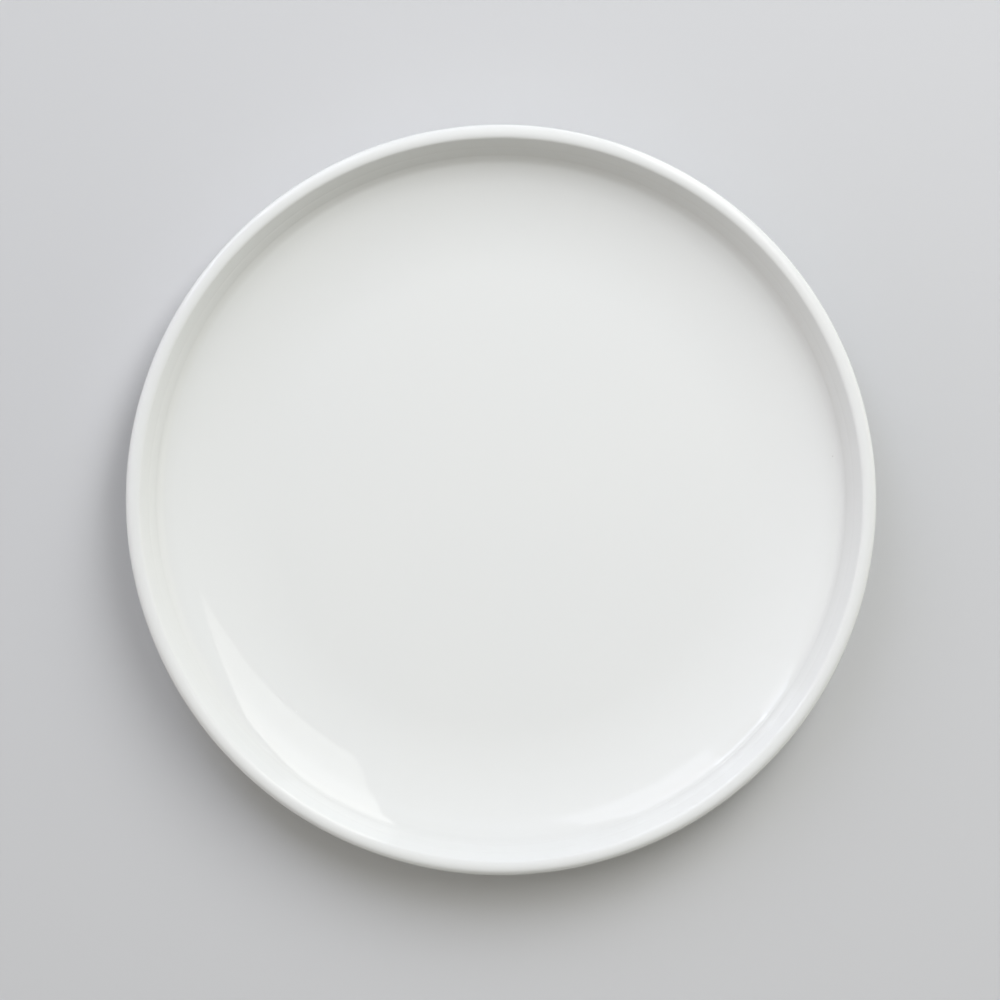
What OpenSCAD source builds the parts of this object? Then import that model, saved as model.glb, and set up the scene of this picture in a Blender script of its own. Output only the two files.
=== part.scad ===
// Round white porcelain plate. The floor of its well is flat in the middle, sweeps up
// towards the edge and turns into a short leaning wall, whose lip is a shallow crown between
// two rounded edges. It stands on a turned foot ring, whose bearing face is bare.
//
// A plate is fired in one piece, so three solids make it: the porcelain body, and the two
// coats of glaze that the bare foot ring parts from each other.
//
// Z is the axis of the plate and Z = 0 the table. Lengths are millimetres, angles degrees.
// Half of the section is walked as a path of stations, from the middle of the well out over
// the lip and back under the plate, with the porcelain always on the right.

/* [Plate] */
// Diameter over the lip
plate_d = 250; // [236:1:280]
// Height from the table to the top of the lip
plate_h = 26.5; // [24.5:0.5:32]
// Radius of the inner edge of the lip, between the wall and the crown
lip_in_r = 1.5; // [1.0:0.1:2.2]
// Radius of the crown, the shallow bend along the top of the lip
crown_r = 4.3; // [3.6:0.1:5]
// Radius of the outer edge of the lip, from the crown round to the outside
lip_out_r = 2.3; // [1.8:0.1:2.8]
// Steepness of the crown where the inner edge meets it
crown_in_angle = 20; // [14:1:26]
// Steepness of the crown where the outer edge meets it
crown_out_angle = 12; // [6:1:18]
// Steepness of the wall above the horizontal
wall_angle = 60; // [50:1:66]

/* [Well] */
// Thickness of the floor
floor_t = 5; // [4:0.1:6]
// Radius of the long sweep that lifts the floor
sweep_r = 118; // [90:1:130]
// Steepness of the floor where the long sweep ends
sweep_angle = 14.5; // [10:0.5:18]
// Radius of the tighter rise after the long sweep
rise_r = 36; // [26:1:50]
// Steepness of the floor where the tighter rise ends
rise_angle = 25; // [20:1:32]
// Radius of the cove between the rise and the wall
cove_r = 6.2; // [4:0.1:8]

/* [Foot ring] */
// Outer diameter of the bearing face
foot_d = 146; // [120:1:150]
// Width of the bearing face
foot_face_w = 2.6; // [1.5:0.1:4]
// Height of the base inside the ring above the table
foot_h = 4.2; // [3.2:0.1:5.5]
// Steepness of the two flanks of the ring
flank_angle = 72; // [60:1:80]
// Radius of the two corners of the bearing face
foot_edge_r = 0.8; // [0.4:0.1:1.2]
// Radius of the hollows where the ring grows out of the base
foot_fillet_r = 1.6; // [0.8:0.1:1.8]

/* [Glaze] */
// Thickness of the glaze
glaze_t = 0.3; // [0.15:0.05:0.45]
// Height of the bare band that is wiped clean at the foot of each flank
bare_h = 1.1; // [0.9:0.1:1.5]
// Length over which the glaze thins out to nothing above the bare band
glaze_end_l = 0.6; // [0.4:0.1:0.9]

/* [Colours] */
// Glazed surfaces
glaze_colour = [0.90, 0.91, 0.90];
// Bare fired porcelain
body_colour = [0.86, 0.84, 0.80];

/* [Hidden] */
// Facets of the whole turn, and the turn between two stations of a bend
$fn = 180;
bend_step_angle = 6;
sweep_step_angle = 1.8;

// Sizes of the unglazed body: its hollow bends are wider and its lip is smaller by the glaze.
// The lip's three bends join the two sides of the wall, which makes the wall's thickness.
body_lip_in_r = lip_in_r - glaze_t;
body_crown_r = crown_r - glaze_t;
body_lip_out_r = lip_out_r - glaze_t;
body_wall_t = body_lip_in_r * (1 - cos(wall_angle - crown_in_angle))
    + body_crown_r * (cos(wall_angle - crown_in_angle) - cos(wall_angle + crown_out_angle))
    + body_lip_out_r * (cos(wall_angle + crown_out_angle) + 1);
body_floor_z = foot_h + floor_t - glaze_t;
body_floor_t = floor_t - 2 * glaze_t;
body_base_z = foot_h + glaze_t;

// What the bends leave of the height is the wall, and of the radius the flat of the well
bend_rise = sweep_r * (1 - cos(sweep_angle))
    + rise_r * (cos(sweep_angle) - cos(rise_angle))
    + cove_r * (cos(rise_angle) - cos(wall_angle))
    + lip_in_r * (cos(crown_in_angle) - cos(wall_angle))
    + crown_r * (1 - cos(crown_in_angle));
wall_l = (plate_h - foot_h - floor_t - bend_rise) / sin(wall_angle);
bend_run = sweep_r * sin(sweep_angle)
    + rise_r * (sin(rise_angle) - sin(sweep_angle))
    + cove_r * (sin(wall_angle) - sin(rise_angle))
    + lip_in_r * (sin(wall_angle) - sin(crown_in_angle))
    + crown_r * (sin(crown_in_angle) + sin(crown_out_angle))
    + lip_out_r * (1 - sin(crown_out_angle));
well_r = plate_d / 2 - bend_run - wall_l * cos(wall_angle);

// A station is [radius, height, heading]. A move is [turn, size]: without a turn the size
// is the length of a straight, and with one it is the radius of a bend.
function straight(s, length) = [[s[0] + length * cos(s[2]), s[1] + length * sin(s[2]), s[2]]];

function bend(s, turn, radius, step) =
    let (
        steps = ceil(abs(turn) / step),
        side = sign(turn) * radius,
        centre = [s[0] - side * sin(s[2]), s[1] + side * cos(s[2])]
    )
    [for (i = [1:steps])
        let (heading = s[2] + turn * i / steps)
        [centre[0] + side * sin(heading), centre[1] - side * cos(heading), heading]];

function move(s, m) =
    m[0] == 0 ? straight(s, m[1])
    : bend(s, m[0], m[1], m[1] >= rise_r ? sweep_step_angle : bend_step_angle);

function walk(s, moves, i = 0) =
    i == len(moves) ? []
    : let (made = move(s, moves[i])) concat(made, walk(made[len(made) - 1], moves, i + 1));

function reversed(list) = [for (i = [len(list) - 1:-1:0]) list[i]];

// Stations seen from one side: a positive depth lies under the surface, a negative one over it
function at_depth(s, depth) = [s[0] + depth * sin(s[2]), s[1] - depth * cos(s[2])];
function laid(stations, depth = 0) = [for (s = stations) at_depth(s, depth)];

// Upper side of the body, from the axis to the top of the wall, and its lip
well_middle = [0, body_floor_z, 0];
hollow = concat([well_middle], walk(well_middle, [
    [0, well_r],
    [sweep_angle, sweep_r + glaze_t],
    [rise_angle - sweep_angle, rise_r + glaze_t],
    [wall_angle - rise_angle, cove_r + glaze_t],
]));
wall_foot = hollow[len(hollow) - 1];
wall_and_lip = walk(wall_foot, [
    [0, wall_l],
    [crown_in_angle - wall_angle, body_lip_in_r],
    [-crown_in_angle - crown_out_angle, body_crown_r],
    [crown_out_angle + wall_angle - 180, body_lip_out_r],
]);

// The body grows evenly from the thickness of the floor to that of the wall
function body_t(radius) =
    let (grown = (radius - well_r) / (wall_foot[0] - well_r))
    body_floor_t + (body_wall_t - body_floor_t) * max(0, min(1, grown));

// Underside of the hollow, walked back towards the axis
underside = [for (s = reversed(hollow))
    let (p = at_depth(s, body_t(s[0])))
    [p[0], p[1], s[2] + 180]];
underside_heights = [for (s = reversed(underside)) [s[0], s[1]]];
function underside_z(radius) = lookup(radius, underside_heights);

// One flank of the foot ring between its hollow and its edge bend, for a given height
foot_bend_h = (foot_fillet_r + foot_edge_r) * (1 - cos(flank_angle));
function flank_l(height) = (height - foot_bend_h) / sin(flank_angle);
function flank_run(height) =
    (foot_fillet_r + foot_edge_r) * sin(flank_angle) + flank_l(height) * cos(flank_angle);
// Bare stretch of a flank
bare_l = (bare_h - foot_edge_r * (1 - cos(flank_angle))) / sin(flank_angle);

foot_start_z = underside_z(foot_d / 2 + flank_run(body_base_z));
foot_start = [foot_d / 2 + flank_run(foot_start_z), foot_start_z, 180];
glazed_outer_flank = concat([foot_start], walk(foot_start, [
    [flank_angle, foot_fillet_r],
    [0, flank_l(foot_start_z) - bare_l - glaze_end_l],
    [0, glaze_end_l],
]));
bare_nose = walk(glazed_outer_flank[len(glazed_outer_flank) - 1], [
    [0, bare_l],
    [-flank_angle, foot_edge_r],
    [0, foot_face_w],
    [-flank_angle, foot_edge_r],
    [0, bare_l],
]);
nose_end = bare_nose[len(bare_nose) - 1];
glazed_inner_flank = concat([nose_end], walk(nose_end, [
    [0, glaze_end_l],
    [0, flank_l(body_base_z) - bare_l - glaze_end_l],
    [flank_angle, foot_fillet_r],
]));
base_middle = [0, body_base_z, 180];

// The two glazed stretches of the body's surface
face_stations = concat(
    hollow,
    wall_and_lip,
    [for (s = underside) if (s[0] > foot_start[0] + glaze_t) s],
    glazed_outer_flank
);
base_stations = concat(glazed_inner_flank, [base_middle]);

// Turns half a section into the round
module turned(outline) {
    rotate_extrude() polygon(outline);
}

// A coat over a stretch of the surface. Its outer side leaves out the station next to the
// bare foot, so the coat thins out there and ends on the porcelain.
module coat(stations, first, last) {
    turned(concat(
        laid([for (i = [first:last]) stations[i]], -glaze_t),
        reversed(laid(stations))
    ));
}

// Fired porcelain in one piece: well, wall, lip, base and foot ring
module porcelain_body() {
    color(body_colour)
        turned(laid(concat(face_stations, bare_nose, base_stations)));
}

// Glaze over the well, the wall, the lip and the outside, down to the foot ring
module face_glaze() {
    color(glaze_colour) coat(face_stations, 0, len(face_stations) - 2);
}

// Glaze over the base inside the foot ring
module base_glaze() {
    color(glaze_colour) coat(base_stations, 1, len(base_stations) - 1);
}

porcelain_body();
face_glaze();
base_glaze();
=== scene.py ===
"""A round white porcelain plate, dressed in its glaze and seen from straight above.

Lengths below are millimetres, as in the part's source, and angles degrees. MM turns them
into Blender's metres where a mesh, a lamp or a material is made.
"""
import math

import bpy
from mathutils import Matrix, Vector, noise


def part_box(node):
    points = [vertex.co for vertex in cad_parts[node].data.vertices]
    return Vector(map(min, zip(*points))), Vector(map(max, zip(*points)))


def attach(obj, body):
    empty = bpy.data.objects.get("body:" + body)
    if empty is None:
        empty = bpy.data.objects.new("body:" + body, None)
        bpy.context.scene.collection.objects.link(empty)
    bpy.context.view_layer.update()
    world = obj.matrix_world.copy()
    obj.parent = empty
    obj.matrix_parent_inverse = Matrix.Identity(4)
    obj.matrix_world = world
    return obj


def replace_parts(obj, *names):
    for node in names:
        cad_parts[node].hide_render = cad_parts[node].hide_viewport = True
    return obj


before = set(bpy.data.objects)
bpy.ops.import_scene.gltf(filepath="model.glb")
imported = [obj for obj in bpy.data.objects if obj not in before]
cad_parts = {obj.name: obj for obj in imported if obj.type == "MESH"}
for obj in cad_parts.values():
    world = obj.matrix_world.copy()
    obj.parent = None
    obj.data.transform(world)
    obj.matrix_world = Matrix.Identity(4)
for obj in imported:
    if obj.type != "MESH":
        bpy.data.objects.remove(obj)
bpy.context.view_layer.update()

MM = 0.001

# Outside of the plate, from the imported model
GLAZE_LOW, GLAZE_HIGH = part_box("face_glaze")
PLATE_D = (GLAZE_HIGH.x - GLAZE_LOW.x) / MM
PLATE_H = GLAZE_HIGH.z / MM

# Section of the plate, with the sizes of the part's source
LIP_IN_R = 1.5
CROWN_R = 4.3
LIP_OUT_R = 2.3
CROWN_IN_ANGLE = 20.0
CROWN_OUT_ANGLE = 12.0
WALL_ANGLE = 60.0
FLOOR_T = 5.0
SWEEP_R = 118.0
SWEEP_ANGLE = 14.5
RISE_R = 36.0
RISE_ANGLE = 25.0
COVE_R = 6.2
FOOT_D = 146.0
FOOT_FACE_W = 2.6
FOOT_H = 4.2
FLANK_ANGLE = 72.0
FOOT_EDGE_R = 0.8
FOOT_FILLET_R = 1.6
GLAZE_T = 0.3
BARE_H = 1.1
GLAZE_END_L = 0.6
WELL_Z = FOOT_H + FLOOR_T

# Fineness of the meshes: steps round the plate, turn between stations and length between
# stations. The hidden side of the glaze and the body under it are coarser.
TURN_STEPS = 360
FINE = {"bend": 3.0, "sweep": 0.5, "straight": 0.15, "flat": 4.0}
COARSE = {"bend": 9.0, "sweep": 2.4, "straight": 1.6, "flat": 12.0}

# Small unevenness of the real surface: slow waves of the glaze, turning marks on the wall,
# and a rim that dips a little on two sides. All of it goes inwards from the true form.
WAVE_DEPTH = 0.030
WAVE_L = 26.0
MARK_DEPTH = 0.004
MARK_L = 0.75
MARK_TURN_L = 40.0
# Rings that stand out from the turning marks: height over the table, depth and half width
RINGS = [(17.65, 0.045, 0.45), (21.4, 0.045, 0.45)]
RIM_DIP = 0.12
RIM_DIP_TURN = 35.0
GLAZE_LINE_SWAY = 0.22
GLAZE_LINE_TURNS = 9.0
# Height where the marks begin, and the height over which they fade in and out
MARK_Z = WELL_Z + 6.5
MARK_FADE_H = 1.5

# Points nearer to the axis than this are the pole of a mesh
AXIS_R = 0.001
# Edges that turn more than this stay sharp
SHARP_ANGLE = 40.0
# Headings whose cosine is larger than this count as flat
FLAT_COS = 0.9

# Glaze: colours, slow clouds, painted shade in the cove, and polish. A noise has a size
# for its patches, a number of octaves, and the span of its values that is spread out.
GLAZE_WHITE = (0.800, 0.810, 0.792, 1.0)
GLAZE_COOL = (0.794, 0.805, 0.790, 1.0)
# Colour of the painted shade in the cove
GLAZE_COVE_SHADE = (0.760, 0.765, 0.735, 1.0)
GLAZE_ROUGH = (0.02, 0.035)
GLAZE_IOR = 1.52
CLOUD_L = 70.0
CLOUD_OCTAVES = 3.0
CLOUD_SPAN = (0.35, 0.65)
POLISH_L = 9.0
POLISH_OCTAVES = 4.0
POLISH_SPAN = (0.3, 0.7)
# Painted shade in the cove: radius of its middle, half width, and how far it darkens
COVE_SHADE_R = 115.0
COVE_SHADE_W = 5.0
COVE_SHADE_SHARE = 0.35
# Specks: turn clockwise from the top of the picture, radius, size, strength and colour
SPECKS = [
    (82.5, 112.4, 0.22, 0.75, (0.45, 0.44, 0.42, 1.0)),
    (224.0, 99.4, 0.24, 0.7, (0.97, 0.97, 0.97, 1.0)),
    (3.3, 90.8, 0.18, 0.35, (0.45, 0.44, 0.42, 1.0)),
    (287.7, 87.1, 0.18, 0.35, (0.45, 0.44, 0.42, 1.0)),
]

# Bare porcelain of the foot ring
BARE_LIGHT = (0.80, 0.78, 0.73, 1.0)
BARE_DARK = (0.70, 0.67, 0.61, 1.0)
BARE_RUBBED = (0.42, 0.41, 0.40, 1.0)
BARE_ROUGH = (0.55, 0.8)
GRAIN_L = 0.35
GRAIN_OCTAVES = 6.0
GRAIN_SPAN = (0.3, 0.7)
GRAIN_DEPTH = 0.02
RUB_L = 6.0
RUB_OCTAVES = 5.0
RUB_SPAN = (0.45, 0.7)
RUB_SHARE = 0.6

# Studio
FLOOR_W = 6000.0
FLOOR_COLOUR = (0.62, 0.625, 0.63, 1.0)
FLOOR_ROUGH = 0.8
FLOOR_SPECULAR = 0.2
# Light of the surroundings, in broad lobes: direction, sharpness and radiance by colour
WORLD_LOBES = [
    ((-1, 0, 0), 1, (0.449, 0.403, 0.315)),
    ((-1, 0, 0), 6, (0.959, 0.938, 1.132)),
    ((1, 0, 0), 6, (1.505, 1.476, 1.305)),
    ((0, 0, 1), 4, (0.565, 0.560, 0.513)),
    ((-1, 1, 1), 4, (0.228, 0.251, 0.281)),
]
# Radiance of an area lamp is its power over four times its area
AREA_LAMP_FACTOR = 4.0
# Softboxes: middle, across, along, width and length
SOFTBOXES = {
    "right": ((497, 739, 945), (0.871, -0.470, -0.141), (-0.104, -0.457, 0.883), 418, 1985),
    "middle": ((-499, 897, 797), (0.901, 0.414, -0.127), (0.264, -0.293, 0.919), 412, 1593),
    "left": ((-911, 654, 655), (0.662, 0.749, 0.021), (0.236, -0.236, 0.943), 166, 1266),
    "low": ((-990, 990, 330), (0.707, 0.707, 0.0), (0.0, 0.0, 1.0), 300, 560),
}
# A photograph shows the mirror image of a bright window duller than the light that it gives.
# So one lamp lights the plate from a softbox, and another, this far in front of it, is
# mirrored in the glaze.
MIRRORED_AHEAD = 5.0
# Lamps: softbox, colour, and radiance of equal parts from its high end to its low end
LIGHTING = [
    ("right", (0.970, 0.977, 1.0), (5.0, 5.8, 7.0, 6.7, 1.8, 0.0)),
    ("middle", (0.760, 0.802, 1.0), (2.53, 2.4, 0.5)),
]
MIRRORED = [
    ("right", (1.0, 0.993, 0.953), (0.9, 1.25, 1.75, 1.95, 2.1, 2.35)),
    ("middle", (0.87, 0.88, 1.0), (0.8, 1.1, 1.5)),
    ("left", (0.82, 0.88, 1.0), (0.9, 1.5, 2.0)),
    ("low", (0.82, 0.88, 1.0), (2.1, 2.1)),
]

# Picture: the plate's radius and centre in the photograph, in pixels, and the camera's
# height over the lip
FRAME_PX = 1000
FRAME_MIDDLE_PX = 499.5
PLATE_R_PX = 375.4
PLATE_X_PX = 500.57
PLATE_Y_PX = 499.35
CAMERA_RISE = 1000.0
SENSOR_W = 36.0


def sin(angle):
    return math.sin(math.radians(angle))


def cos(angle):
    return math.cos(math.radians(angle))


# A station is (radius, height, heading), and a path runs with the porcelain on its right.


def straight(start, length, steps):
    """Stations along a straight of the given length."""
    r, z, heading = start
    ways = [length * i / steps for i in range(1, steps + 1)]
    return [(r + way * cos(heading), z + way * sin(heading), heading) for way in ways]


def bend(start, turn, radius, steps):
    """Stations round a bend, to the left for a positive turn."""
    r, z, heading = start
    side = math.copysign(radius, turn)
    middle_r = r - side * sin(heading)
    middle_z = z + side * cos(heading)
    headings = [heading + turn * i / steps for i in range(1, steps + 1)]
    return [(middle_r + side * sin(h), middle_z - side * cos(h), h) for h in headings]


def walk(start, moves, fineness):
    """Stations after start. A move is (turn, size): a length without a turn, else a radius."""
    path = [start]
    for turn, size in moves:
        if turn:
            step = fineness["sweep" if size >= RISE_R else "bend"]
            path += bend(path[-1], turn, size, math.ceil(abs(turn) / step))
        else:
            flat = path[-1][2] % 180 == 0 and size > FOOT_FACE_W
            step = fineness["flat" if flat else "straight"]
            path += straight(path[-1], size, math.ceil(size / step))
    return path[1:]


def at_depth(station, depth):
    """The station moved under the surface, or over it for a negative depth."""
    r, z, heading = station
    return (r + depth * sin(heading), z - depth * cos(heading), heading)


def section(fineness):
    """The body's surface in three stretches: under the face glaze, bare, under the base glaze."""
    in_r, crown_r, out_r = LIP_IN_R - GLAZE_T, CROWN_R - GLAZE_T, LIP_OUT_R - GLAZE_T
    in_turn, out_turn = WALL_ANGLE - CROWN_IN_ANGLE, WALL_ANGLE + CROWN_OUT_ANGLE
    rise = (SWEEP_R * (1 - cos(SWEEP_ANGLE)) + RISE_R * (cos(SWEEP_ANGLE) - cos(RISE_ANGLE))
            + COVE_R * (cos(RISE_ANGLE) - cos(WALL_ANGLE))
            + LIP_IN_R * (cos(CROWN_IN_ANGLE) - cos(WALL_ANGLE))
            + CROWN_R * (1 - cos(CROWN_IN_ANGLE)))
    run = (SWEEP_R * sin(SWEEP_ANGLE) + RISE_R * (sin(RISE_ANGLE) - sin(SWEEP_ANGLE))
           + COVE_R * (sin(WALL_ANGLE) - sin(RISE_ANGLE))
           + LIP_IN_R * (sin(WALL_ANGLE) - sin(CROWN_IN_ANGLE))
           + CROWN_R * (sin(CROWN_IN_ANGLE) + sin(CROWN_OUT_ANGLE))
           + LIP_OUT_R * (1 - sin(CROWN_OUT_ANGLE)))
    wall_l = (PLATE_H - FOOT_H - FLOOR_T - rise) / sin(WALL_ANGLE)
    well_r = PLATE_D / 2 - run - wall_l * cos(WALL_ANGLE)

    middle = (0.0, WELL_Z - GLAZE_T, 0.0)
    hollow = [middle] + walk(middle, [
        (0, well_r),
        (SWEEP_ANGLE, SWEEP_R + GLAZE_T),
        (RISE_ANGLE - SWEEP_ANGLE, RISE_R + GLAZE_T),
        (WALL_ANGLE - RISE_ANGLE, COVE_R + GLAZE_T),
    ], fineness)
    wall_foot = hollow[-1]
    lip = walk(wall_foot, [
        (0, wall_l), (-in_turn, in_r), (-CROWN_IN_ANGLE - CROWN_OUT_ANGLE, crown_r),
        (out_turn - 180, out_r),
    ], fineness)

    # The body grows from the floor's thickness to the wall's
    floor_t = FLOOR_T - 2 * GLAZE_T
    wall_t = (in_r * (1 - cos(in_turn)) + crown_r * (cos(in_turn) - cos(out_turn))
              + out_r * (cos(out_turn) + 1))
    outer_foot = at_depth(wall_foot, wall_t)
    lip += walk(lip[-1], [(0, math.dist(lip[-1][:2], outer_foot[:2]))], fineness)
    underside = []
    for station in reversed(hollow[:-1]):
        grown = max(0, (station[0] - well_r) / (wall_foot[0] - well_r))
        r, z, heading = at_depth(station, floor_t + (wall_t - floor_t) * grown)
        underside.append((r, z, heading + 180))

    base_z = FOOT_H + GLAZE_T
    flank_l = (base_z - (FOOT_FILLET_R + FOOT_EDGE_R) * (1 - cos(FLANK_ANGLE))) / sin(FLANK_ANGLE)
    flank_run = (FOOT_FILLET_R + FOOT_EDGE_R) * sin(FLANK_ANGLE) + flank_l * cos(FLANK_ANGLE)
    bare_l = (BARE_H - FOOT_EDGE_R * (1 - cos(FLANK_ANGLE))) / sin(FLANK_ANGLE)
    glazed_l = flank_l - bare_l
    outer_fillet = (FOOT_D / 2 + flank_run, base_z, 180.0)
    outer = [outer_fillet] + walk(outer_fillet, [
        (FLANK_ANGLE, FOOT_FILLET_R), (0, glazed_l - GLAZE_END_L), (0, GLAZE_END_L),
    ], fineness)
    nose = walk(outer[-1], [
        (0, bare_l), (-FLANK_ANGLE, FOOT_EDGE_R), (0, FOOT_FACE_W),
        (-FLANK_ANGLE, FOOT_EDGE_R), (0, bare_l),
    ], fineness)
    inner = [nose[-1]] + walk(nose[-1], [
        (0, GLAZE_END_L), (0, glazed_l - GLAZE_END_L), (FLANK_ANGLE, FOOT_FILLET_R),
    ], fineness)
    inner += straight(inner[-1], inner[-1][0], math.ceil(inner[-1][0] / fineness["flat"]))

    underside = [s for s in underside if s[0] > outer_fillet[0] + GLAZE_T]
    return hollow + lip + underside + outer, nose, inner


def ripple(x, y, z):
    """Depth of the glaze's slow waves at a place, from nothing to their full depth."""
    return WAVE_DEPTH * (1 + noise.noise(Vector((x, y, z)) / WAVE_L)) / 2


def marks(r, z, turn):
    """Depth of the fine rings that turning leaves on the wall, fading towards its two ends."""
    top = PLATE_H - LIP_IN_R
    if not MARK_Z < z < top:
        return 0.0
    fade_share = min(1, (z - MARK_Z) / MARK_FADE_H, (top - z) / MARK_FADE_H)
    along = Vector((r / MARK_L, z / MARK_L, PLATE_D / 2 * turn / MARK_TURN_L))
    fine = MARK_DEPTH * (1 + noise.noise(along)) / 2
    rings = sum(depth * math.exp(-((z - ring_z) / half_w) ** 2) for ring_z, depth, half_w in RINGS)
    return fade_share * (fine + rings)


def dip(r, turn):
    """How far the rim sinks at a place: a plate is never quite flat after the firing."""
    rim = max(0, (r - FOOT_D / 2) / (PLATE_D / 2 - FOOT_D / 2))
    return RIM_DIP * rim ** 2 * (1 + math.cos(2 * turn - math.radians(RIM_DIP_TURN))) / 2


def glazed(station, turn):
    """A station of the body, as the glaze over it lies at this turn."""
    r, z, heading = at_depth(station, -GLAZE_T)
    x, y = r * math.cos(turn), r * math.sin(turn)
    return at_depth((r, z, heading), ripple(x, y, z) + marks(r, z, turn))[:2]


def plain(station, turn):
    """A station of the body, as it is."""
    return station[:2]


def swayed(place, fillet_z):
    """The same place, but the glaze's end on the flank of the foot ring sways up and down."""
    def moved(station, turn):
        r, z = place(station, turn)
        if abs(cos(station[2])) < FLAT_COS and z < fillet_z:
            end = Vector((math.cos(turn), math.sin(turn), station[0] / PLATE_D))
            share = min(1, (fillet_z - z) / (fillet_z - BARE_H))
            down = GLAZE_LINE_SWAY * share * noise.noise(end * GLAZE_LINE_TURNS)
            inwards = math.copysign(cos(FLANK_ANGLE), sin(station[2]))
            r += down * inwards
            z -= down * sin(FLANK_ANGLE)
        return r, z
    return moved


def revolve(name, outline, material):
    """A closed mesh from an outline of (station, place), both of whose ends lie on the axis."""
    turns = [2 * math.pi * i / TURN_STEPS for i in range(TURN_STEPS)]
    points, rings = [], []
    for station, place in outline:
        on_axis = station[0] < AXIS_R
        rings.append(range(len(points), len(points) + (1 if on_axis else TURN_STEPS)))
        for turn in turns[:1] if on_axis else turns:
            r, z = place(station, turn)
            z -= dip(r, turn)
            points.append(Vector((r * math.cos(turn), r * math.sin(turn), z)) * MM)
    faces = []
    for one, two in zip(rings, rings[1:]):
        for i in range(TURN_STEPS):
            j = (i + 1) % TURN_STEPS
            corners = [one[i % len(one)], two[i % len(two)], two[j % len(two)], one[j % len(one)]]
            faces.append(list(dict.fromkeys(corners)))
    mesh = bpy.data.meshes.new(name)
    mesh.from_pydata(points, [], faces)
    mesh.validate()
    mesh.shade_smooth()
    mesh.set_sharp_from_angle(angle=math.radians(SHARP_ANGLE))
    mesh.materials.append(material)
    piece = bpy.data.objects.new(name, mesh)
    bpy.context.collection.objects.link(piece)
    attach(piece, "root")
    return piece


def make_plate(glaze, bare):
    """The three pieces of the plate. The coats of glaze lie on the body face to face."""
    face, nose, base = section(FINE)
    face_under, _, base_under = section(COARSE)
    fillet_z = FOOT_H + GLAZE_T - FOOT_FILLET_R * (1 - cos(FLANK_ANGLE))
    over = swayed(glazed, fillet_z)
    under = swayed(plain, fillet_z)

    body = [(s, plain) for s in face_under + nose + base_under[1:]]
    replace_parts(revolve("plate_body", body, bare), "porcelain_body")

    coat = [(s, over) for s in face[:-1]] + [(s, under) for s in reversed(face_under)]
    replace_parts(revolve("plate_face_glaze", coat, glaze), "face_glaze")

    coat = [(s, under) for s in reversed(base_under)] + [(s, over) for s in base[1:]]
    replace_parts(revolve("plate_base_glaze", coat, glaze), "base_glaze")


def put(tree, kind, inputs=(), **settings):
    """A shader node with its settings, and its inputs as values or as sockets to link."""
    made = tree.nodes.new(kind)
    for name, value in settings.items():
        setattr(made, name, value)
    for name, value in dict(inputs).items():
        if isinstance(value, bpy.types.NodeSocket):
            tree.links.new(value, made.inputs[name])
        else:
            made.inputs[name].default_value = value
    return made


def mix(tree, share, first, second):
    """The colour between two colours, each given as a value or as a socket."""
    made = tree.nodes.new("ShaderNodeMix")
    made.data_type = "RGBA"
    sockets = {"Factor_Float": share, "A_Color": first, "B_Color": second}
    for socket in made.inputs:
        value = sockets.get(socket.identifier)
        if value is None:
            continue
        if isinstance(value, bpy.types.NodeSocket):
            tree.links.new(value, socket)
        else:
            socket.default_value = value
    return next(s for s in made.outputs if s.identifier == "Result_Color")


def spread(tree, value, low, high, to_low=0.0, to_high=1.0):
    """A value carried from one range to another and kept inside it."""
    inputs = {"Value": value, "From Min": low, "From Max": high,
              "To Min": to_low, "To Max": to_high}
    return put(tree, "ShaderNodeMapRange", inputs).outputs["Result"]


def maths(tree, operation, first, second=0.0):
    """The result of an operation on one or two numbers, each a value or a socket."""
    return put(tree, "ShaderNodeMath", {0: first, 1: second}, operation=operation).outputs[0]


def vector_maths(tree, operation, first, second=(0, 0, 0), output="Vector"):
    """The result of an operation on one or two vectors, each a value or a socket."""
    made = put(tree, "ShaderNodeVectorMath", {0: first, 1: second}, operation=operation)
    return made.outputs[output]


def patches(tree, where, size, octaves):
    """A noise with patches of the given size."""
    inputs = {"Vector": where, "Scale": 1 / (size * MM), "Detail": octaves}
    return put(tree, "ShaderNodeTexNoise", inputs).outputs["Fac"]


def table_height(tree, where):
    """The height of a place over the table, in metres."""
    return put(tree, "ShaderNodeSeparateXYZ", {"Vector": where}).outputs["Z"]


def new_material(name):
    """An empty material with its shader, and the object's coordinates in metres."""
    material = bpy.data.materials.new(name)
    material.use_nodes = True
    tree = material.node_tree
    shader = tree.nodes["Principled BSDF"]
    where = tree.nodes.new("ShaderNodeTexCoord").outputs["Object"]
    return material, tree, shader, where


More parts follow.
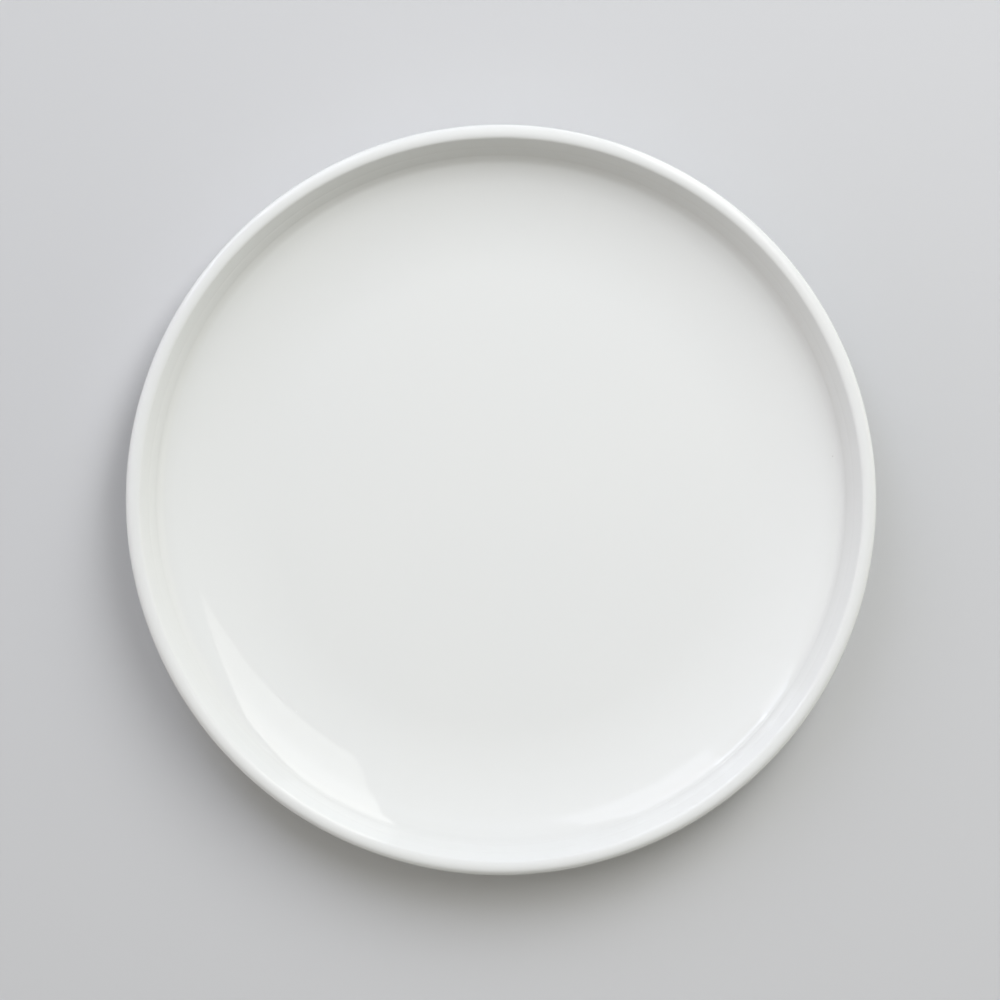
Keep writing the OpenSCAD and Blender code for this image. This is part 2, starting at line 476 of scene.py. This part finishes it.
def glaze_material():
    """Clear gloss glaze on white porcelain."""
    material, tree, shader, where = new_material("white_glaze")
    tone = spread(tree, patches(tree, where, CLOUD_L, CLOUD_OCTAVES), *CLOUD_SPAN)
    colour = mix(tree, tone, GLAZE_WHITE, GLAZE_COOL)

    # Painted shade: the glaze is painted a little darker and warmer in a band round the cove
    over_well = maths(tree, "GREATER_THAN", table_height(tree, where), WELL_Z * MM)
    plan = vector_maths(tree, "MULTIPLY", where, (1, 1, 0))
    radius = vector_maths(tree, "LENGTH", plan, output="Value")
    off = maths(tree, "ABSOLUTE", maths(tree, "SUBTRACT", radius, COVE_SHADE_R * MM))
    cove_shade = spread(tree, off, 0.0, COVE_SHADE_W * MM, COVE_SHADE_SHARE, 0.0)
    colour = mix(tree, maths(tree, "MULTIPLY", cove_shade, over_well), colour, GLAZE_COVE_SHADE)

    # A few specks that the firing left in the glaze
    for turn, r, size, share, shade in SPECKS:
        spot = (r * MM * sin(turn), r * MM * cos(turn), 0)
        off = vector_maths(tree, "DISTANCE", plan, spot, output="Value")
        near = spread(tree, off, size * MM / 2, size * MM, share, 0.0)
        colour = mix(tree, maths(tree, "MULTIPLY", near, over_well), colour, shade)
    tree.links.new(colour, shader.inputs["Base Color"])

    sheen = patches(tree, where, POLISH_L, POLISH_OCTAVES)
    polish = spread(tree, sheen, *POLISH_SPAN, *GLAZE_ROUGH)
    tree.links.new(polish, shader.inputs["Roughness"])
    shader.inputs["IOR"].default_value = GLAZE_IOR
    return material


def bare_material():
    """Fired porcelain without glaze: fine, matte and warm, rubbed grey where the foot stands."""
    material, tree, shader, where = new_material("bare_porcelain")
    grain = patches(tree, where, GRAIN_L, GRAIN_OCTAVES)
    colour = mix(tree, spread(tree, grain, *GRAIN_SPAN), BARE_LIGHT, BARE_DARK)
    low = spread(tree, table_height(tree, where), 0.0, FOOT_EDGE_R * MM, 1.0, 0.0)
    rub = patches(tree, where, RUB_L, RUB_OCTAVES)
    rubbed = maths(tree, "MULTIPLY", low, spread(tree, rub, *RUB_SPAN, 0.0, RUB_SHARE))
    colour = mix(tree, rubbed, colour, BARE_RUBBED)
    tree.links.new(colour, shader.inputs["Base Color"])
    rough = spread(tree, grain, *GRAIN_SPAN, *BARE_ROUGH)
    tree.links.new(rough, shader.inputs["Roughness"])
    inputs = {"Height": grain, "Strength": 1.0, "Distance": GRAIN_DEPTH * MM}
    bump = put(tree, "ShaderNodeBump", inputs)
    tree.links.new(bump.outputs["Normal"], shader.inputs["Normal"])
    return material


def make_floor():
    """Plain pale floor."""
    material, _, shader, _ = new_material("floor")
    shader.inputs["Base Color"].default_value = FLOOR_COLOUR
    shader.inputs["Roughness"].default_value = FLOOR_ROUGH
    shader.inputs["Specular IOR Level"].default_value = FLOOR_SPECULAR
    half = FLOOR_W * MM / 2
    mesh = bpy.data.meshes.new("studio_floor")
    mesh.from_pydata([(-half, -half, 0), (half, -half, 0), (half, half, 0), (-half, half, 0)], [],
                     [(0, 1, 2, 3)])
    mesh.materials.append(material)
    floor = bpy.data.objects.new("studio_floor", mesh)
    bpy.context.collection.objects.link(floor)


def grey_ramp(tree, value, shares):
    """Greys over a value from 0 to 1: each share holds in the middle of its equal part."""
    ramp = put(tree, "ShaderNodeValToRGB", {"Fac": value})
    elements = ramp.color_ramp.elements
    while len(elements) < len(shares):
        elements.new(0.5)
    for i, (element, share) in enumerate(zip(elements, shares)):
        element.position = (i + 0.5) / len(shares)
        element.color = (share, share, share, 1.0)
    return ramp.outputs["Color"]


def make_lamp(softbox, colour, radiances, mirrored):
    """A flat rectangle of light that fades along itself, and only lights or is only mirrored."""
    middle, across, along, width, length = SOFTBOXES[softbox]
    x_axis = Vector(across).normalized()
    z_axis = Vector(along).cross(x_axis).normalized()
    y_axis = z_axis.cross(x_axis)
    name = f"softbox_{softbox}_{'mirrored' if mirrored else 'lighting'}"
    light = bpy.data.lights.new(name, "AREA")
    light.shape = "RECTANGLE"
    light.size = width * MM
    light.size_y = length * MM
    light.color = colour
    light.energy = AREA_LAMP_FACTOR * max(radiances) * light.size * light.size_y
    light.use_nodes = True
    tree = light.node_tree
    place = put(tree, "ShaderNodeNewGeometry").outputs["Parametric"]
    down = put(tree, "ShaderNodeSeparateXYZ", {"Vector": place}).outputs["Y"]
    shares = [radiance / max(radiances) for radiance in radiances]
    tree.links.new(grey_ramp(tree, down, shares), tree.nodes["Emission"].inputs["Color"])
    lamp = bpy.data.objects.new(name, light)
    lamp.visible_glossy = mirrored
    lamp.visible_diffuse = not mirrored
    turned = Matrix((x_axis, y_axis, z_axis)).transposed().to_4x4()
    stand = Vector(middle) - z_axis * (MIRRORED_AHEAD if mirrored else 0)
    lamp.matrix_world = Matrix.Translation(stand * MM) @ turned
    bpy.context.collection.objects.link(lamp)


def make_world():
    """Soft light from both sides, from above and from the upper left, in broad lobes."""
    world = bpy.data.worlds.new("studio")
    world.use_nodes = True
    tree = world.node_tree
    way = put(tree, "ShaderNodeTexCoord").outputs["Generated"]
    total = (0.0, 0.0, 0.0)
    for axis, sharpness, radiance in WORLD_LOBES:
        axis = Vector(axis).normalized()
        along = vector_maths(tree, "DOT_PRODUCT", way, axis, output="Value")
        lobe = maths(tree, "POWER", maths(tree, "MAXIMUM", along), sharpness)
        inputs = {0: radiance, "Scale": lobe}
        lit = put(tree, "ShaderNodeVectorMath", inputs, operation="SCALE").outputs["Vector"]
        total = vector_maths(tree, "ADD", total, lit)
    tree.links.new(total, tree.nodes["Background"].inputs["Color"])
    bpy.context.scene.world = world


def make_camera():
    """Straight above the plate, with the plate where the photograph has it."""
    per_px = PLATE_D / 2 / PLATE_R_PX
    camera_data = bpy.data.cameras.new("camera")
    camera_data.sensor_width = SENSOR_W
    camera_data.lens = SENSOR_W * (CAMERA_RISE + LIP_OUT_R) / (FRAME_PX * per_px)
    camera = bpy.data.objects.new("camera", camera_data)
    camera.location = Vector(((FRAME_MIDDLE_PX - PLATE_X_PX) * per_px,
                              (PLATE_Y_PX - FRAME_MIDDLE_PX) * per_px,
                              PLATE_H + CAMERA_RISE)) * MM
    bpy.context.collection.objects.link(camera)
    bpy.context.scene.camera = camera


make_camera()
make_world()
make_floor()
make_plate(glaze_material(), bare_material())
for lamp in LIGHTING:
    make_lamp(*lamp, mirrored=False)
for lamp in MIRRORED:
    make_lamp(*lamp, mirrored=True)
bpy.context.scene.view_settings.view_transform = "Standard"
